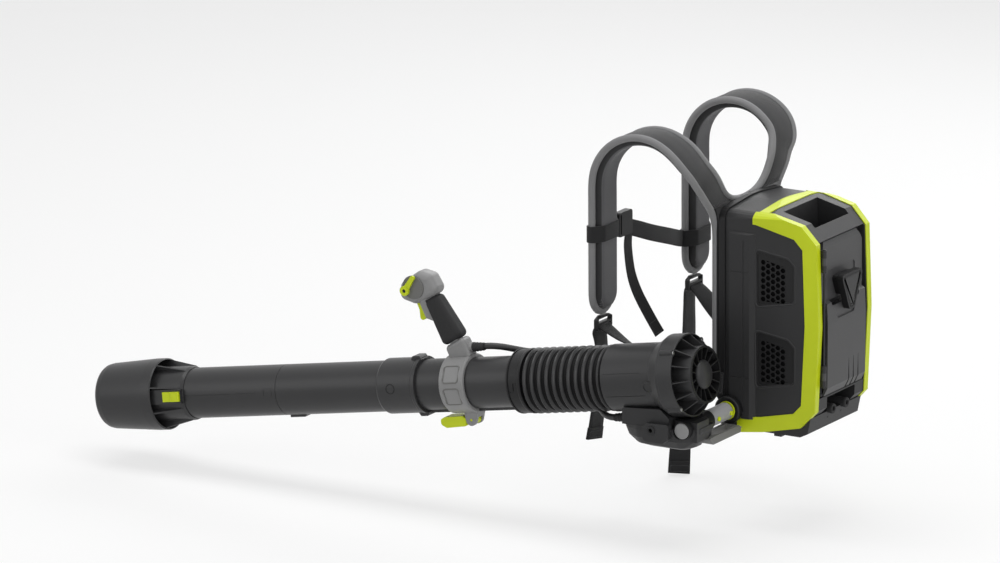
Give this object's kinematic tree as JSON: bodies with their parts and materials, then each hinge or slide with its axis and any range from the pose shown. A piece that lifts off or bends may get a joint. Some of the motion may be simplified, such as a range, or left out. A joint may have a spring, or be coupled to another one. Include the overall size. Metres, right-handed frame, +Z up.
{
  "type": "backpack leaf blower",
  "caption": "Battery backpack leaf blower: harness and hinged battery door on a pack, a fan unit on a side arm, ribbed hose, blow tubes, control handle and flared nozzle.",
  "frame": {"origin": "middle of the back pad's face where it lies against the wearer's back, 200 mm above the feet", "axes": "+X away from the wearer towards the rear of the pack, -X the way the tube blows, +Y the wearer's right, +Z up"},
  "size_m": [1.3496, 0.4958, 0.6909],
  "materials": {
    "housing_plastic": "moulded dark charcoal plastic with a fine satin texture",
    "black_plastic": "black moulded plastic, low sheen",
    "lime_plastic": "yellow-green moulded plastic, satin gloss",
    "grey_plastic": "light grey moulded plastic, satin",
    "soft_rubber": "matt black overmoulded rubber",
    "hose_rubber": "black flexible corrugated hose, slight sheen",
    "pad_fabric": "black mesh fabric over foam, grey piping along its edges",
    "webbing_fabric": "woven black polyester webbing",
    "silver_sleeve": "silver-grey satin sleeve",
    "alloy": "turned and extruded aluminium",
    "steel": "ground steel",
    "motor_can": "motor can with copper windings inside",
    "cable_jacket": "black control cable jacket"
  },
  "bodies": {
    "pack": {"housing": "housing_plastic", "trim_band": "lime_plastic", "back_plate": "black_plastic", "post_left": "housing_plastic", "post_right": "housing_plastic", "vent_left_upper": "black_plastic", "vent_left_lower": "black_plastic", "vent_right_upper": "black_plastic", "vent_right_lower": "black_plastic", "battery_pack": "housing_plastic", "terminal_block": "black_plastic", "controller": "alloy", "hinge_pin": "steel", "back_pad": "pad_fabric", "strap_left": "pad_fabric", "strap_right": "pad_fabric", "chest_strap": "webbing_fabric", "chest_buckle": "black_plastic", "webbing_left": "webbing_fabric", "webbing_right": "webbing_fabric", "ladder_lock_left": "black_plastic", "ladder_lock_right": "black_plastic", "arm_boss": "black_plastic", "arm_ring": "lime_plastic"},
    "door": {"door_panel": "housing_plastic", "door_block": "black_plastic"},
    "door_latch": {"door_latch": "lime_plastic"},
    "blower": {"arm_shaft": "alloy", "arm_sleeve": "silver_sleeve", "arm_socket": "black_plastic", "arm_cap": "grey_plastic", "arm_rail": "grey_plastic", "cradle": "housing_plastic", "barrel": "housing_plastic", "intake_ring": "housing_plastic", "intake_grille": "black_plastic", "stator": "black_plastic", "motor": "motor_can", "hose": "hose_rubber", "cable_lower": "cable_jacket"},
    "snap_button_inner": {"snap_button_inner": "lime_plastic"},
    "snap_button_outer": {"snap_button_outer": "lime_plastic"},
    "rotor": {"fan": "black_plastic", "motor_shaft": "steel"},
    "tube": {"hose_collar": "black_plastic", "mid_tube": "housing_plastic", "lock_collar": "housing_plastic", "main_tube": "housing_plastic", "front_tube": "housing_plastic", "cable_upper": "cable_jacket"},
    "nozzle": {"nozzle": "housing_plastic"},
    "nozzle_latch": {"nozzle_latch": "lime_plastic"},
    "handle": {"handle_clamp": "grey_plastic", "handle_shell": "grey_plastic", "grip": "soft_rubber", "dial": "housing_plastic"},
    "clamp_lever": {"clamp_lever": "lime_plastic"},
    "trigger": {"trigger": "lime_plastic"},
    "cruise_lever": {"cruise_lever": "lime_plastic"}
  },
  "joints": [
    {"name": "door_hinge", "type": "hinge", "parent": "pack", "child": "door", "pos_m": [0.213, -0.076, 0], "axis": [0, 0, -1], "range_deg": [0, 110]},
    {"name": "door_latch_press", "type": "slide", "parent": "pack", "child": "door_latch", "axis": [0, -1, 0], "range_m": [0, 0.003], "stiffness_N_per_m": 800},
    {"name": "blower_tilt", "type": "hinge", "parent": "pack", "child": "blower", "pos_m": [0.047, -0.2, -0.159], "axis": [0, 1, 0], "range_deg": [-20, 15]},
    {"name": "snap_button_inner_press", "type": "slide", "parent": "blower", "child": "snap_button_inner", "axis": [-1, 0, 0], "range_m": [0, 0.003], "stiffness_N_per_m": 600},
    {"name": "snap_button_outer_press", "type": "slide", "parent": "blower", "child": "snap_button_outer", "axis": [-1, 0, 0], "range_m": [0, 0.003], "stiffness_N_per_m": 600},
    {"name": "fan_spin", "type": "hinge", "parent": "blower", "child": "rotor", "pos_m": [0.0445, -0.226, -0.071], "axis": [-0.9863, 0, -0.165], "continuous": true},
    {"name": "hose_yaw", "type": "hinge", "parent": "blower", "child": "tube", "pos_m": [-0.1784, -0.226, -0.1083], "axis": [-0.165, 0, 0.9863], "range_deg": [-20, 20], "deforming": ["hose", "cable_lower"]},
    {"name": "nozzle_slide", "type": "slide", "parent": "tube", "child": "nozzle", "axis": [-0.9863, 0, -0.165], "range_m": [0, 0.06]},
    {"name": "nozzle_latch_press", "type": "slide", "parent": "nozzle", "child": "nozzle_latch", "axis": [0.0173, 0.9945, -0.1031], "range_m": [0, 0.002], "stiffness_N_per_m": 800},
    {"name": "handle_slide", "type": "slide", "parent": "tube", "child": "handle", "axis": [-0.9863, 0, -0.165], "range_m": [-0.06, 0.04], "deforming": ["cable_upper"]},
    {"name": "clamp_lever_swing", "type": "hinge", "parent": "handle", "child": "clamp_lever", "pos_m": [-0.37923, -0.226, -0.20477], "axis": [0, -1, 0], "range_deg": [0, 100]},
    {"name": "trigger_pull", "type": "hinge", "parent": "handle", "child": "trigger", "pos_m": [-0.48409, -0.226, -0.00923], "axis": [0, -1, 0], "range_deg": [0, 9], "stiffness_Nm_per_rad": 0.3},
    {"name": "cruise_lever_turn", "type": "hinge", "parent": "handle", "child": "cruise_lever", "pos_m": [-0.50309, -0.2472, 0.00826], "axis": [0, -1, 0], "range_deg": [0, 70]}
  ]
}
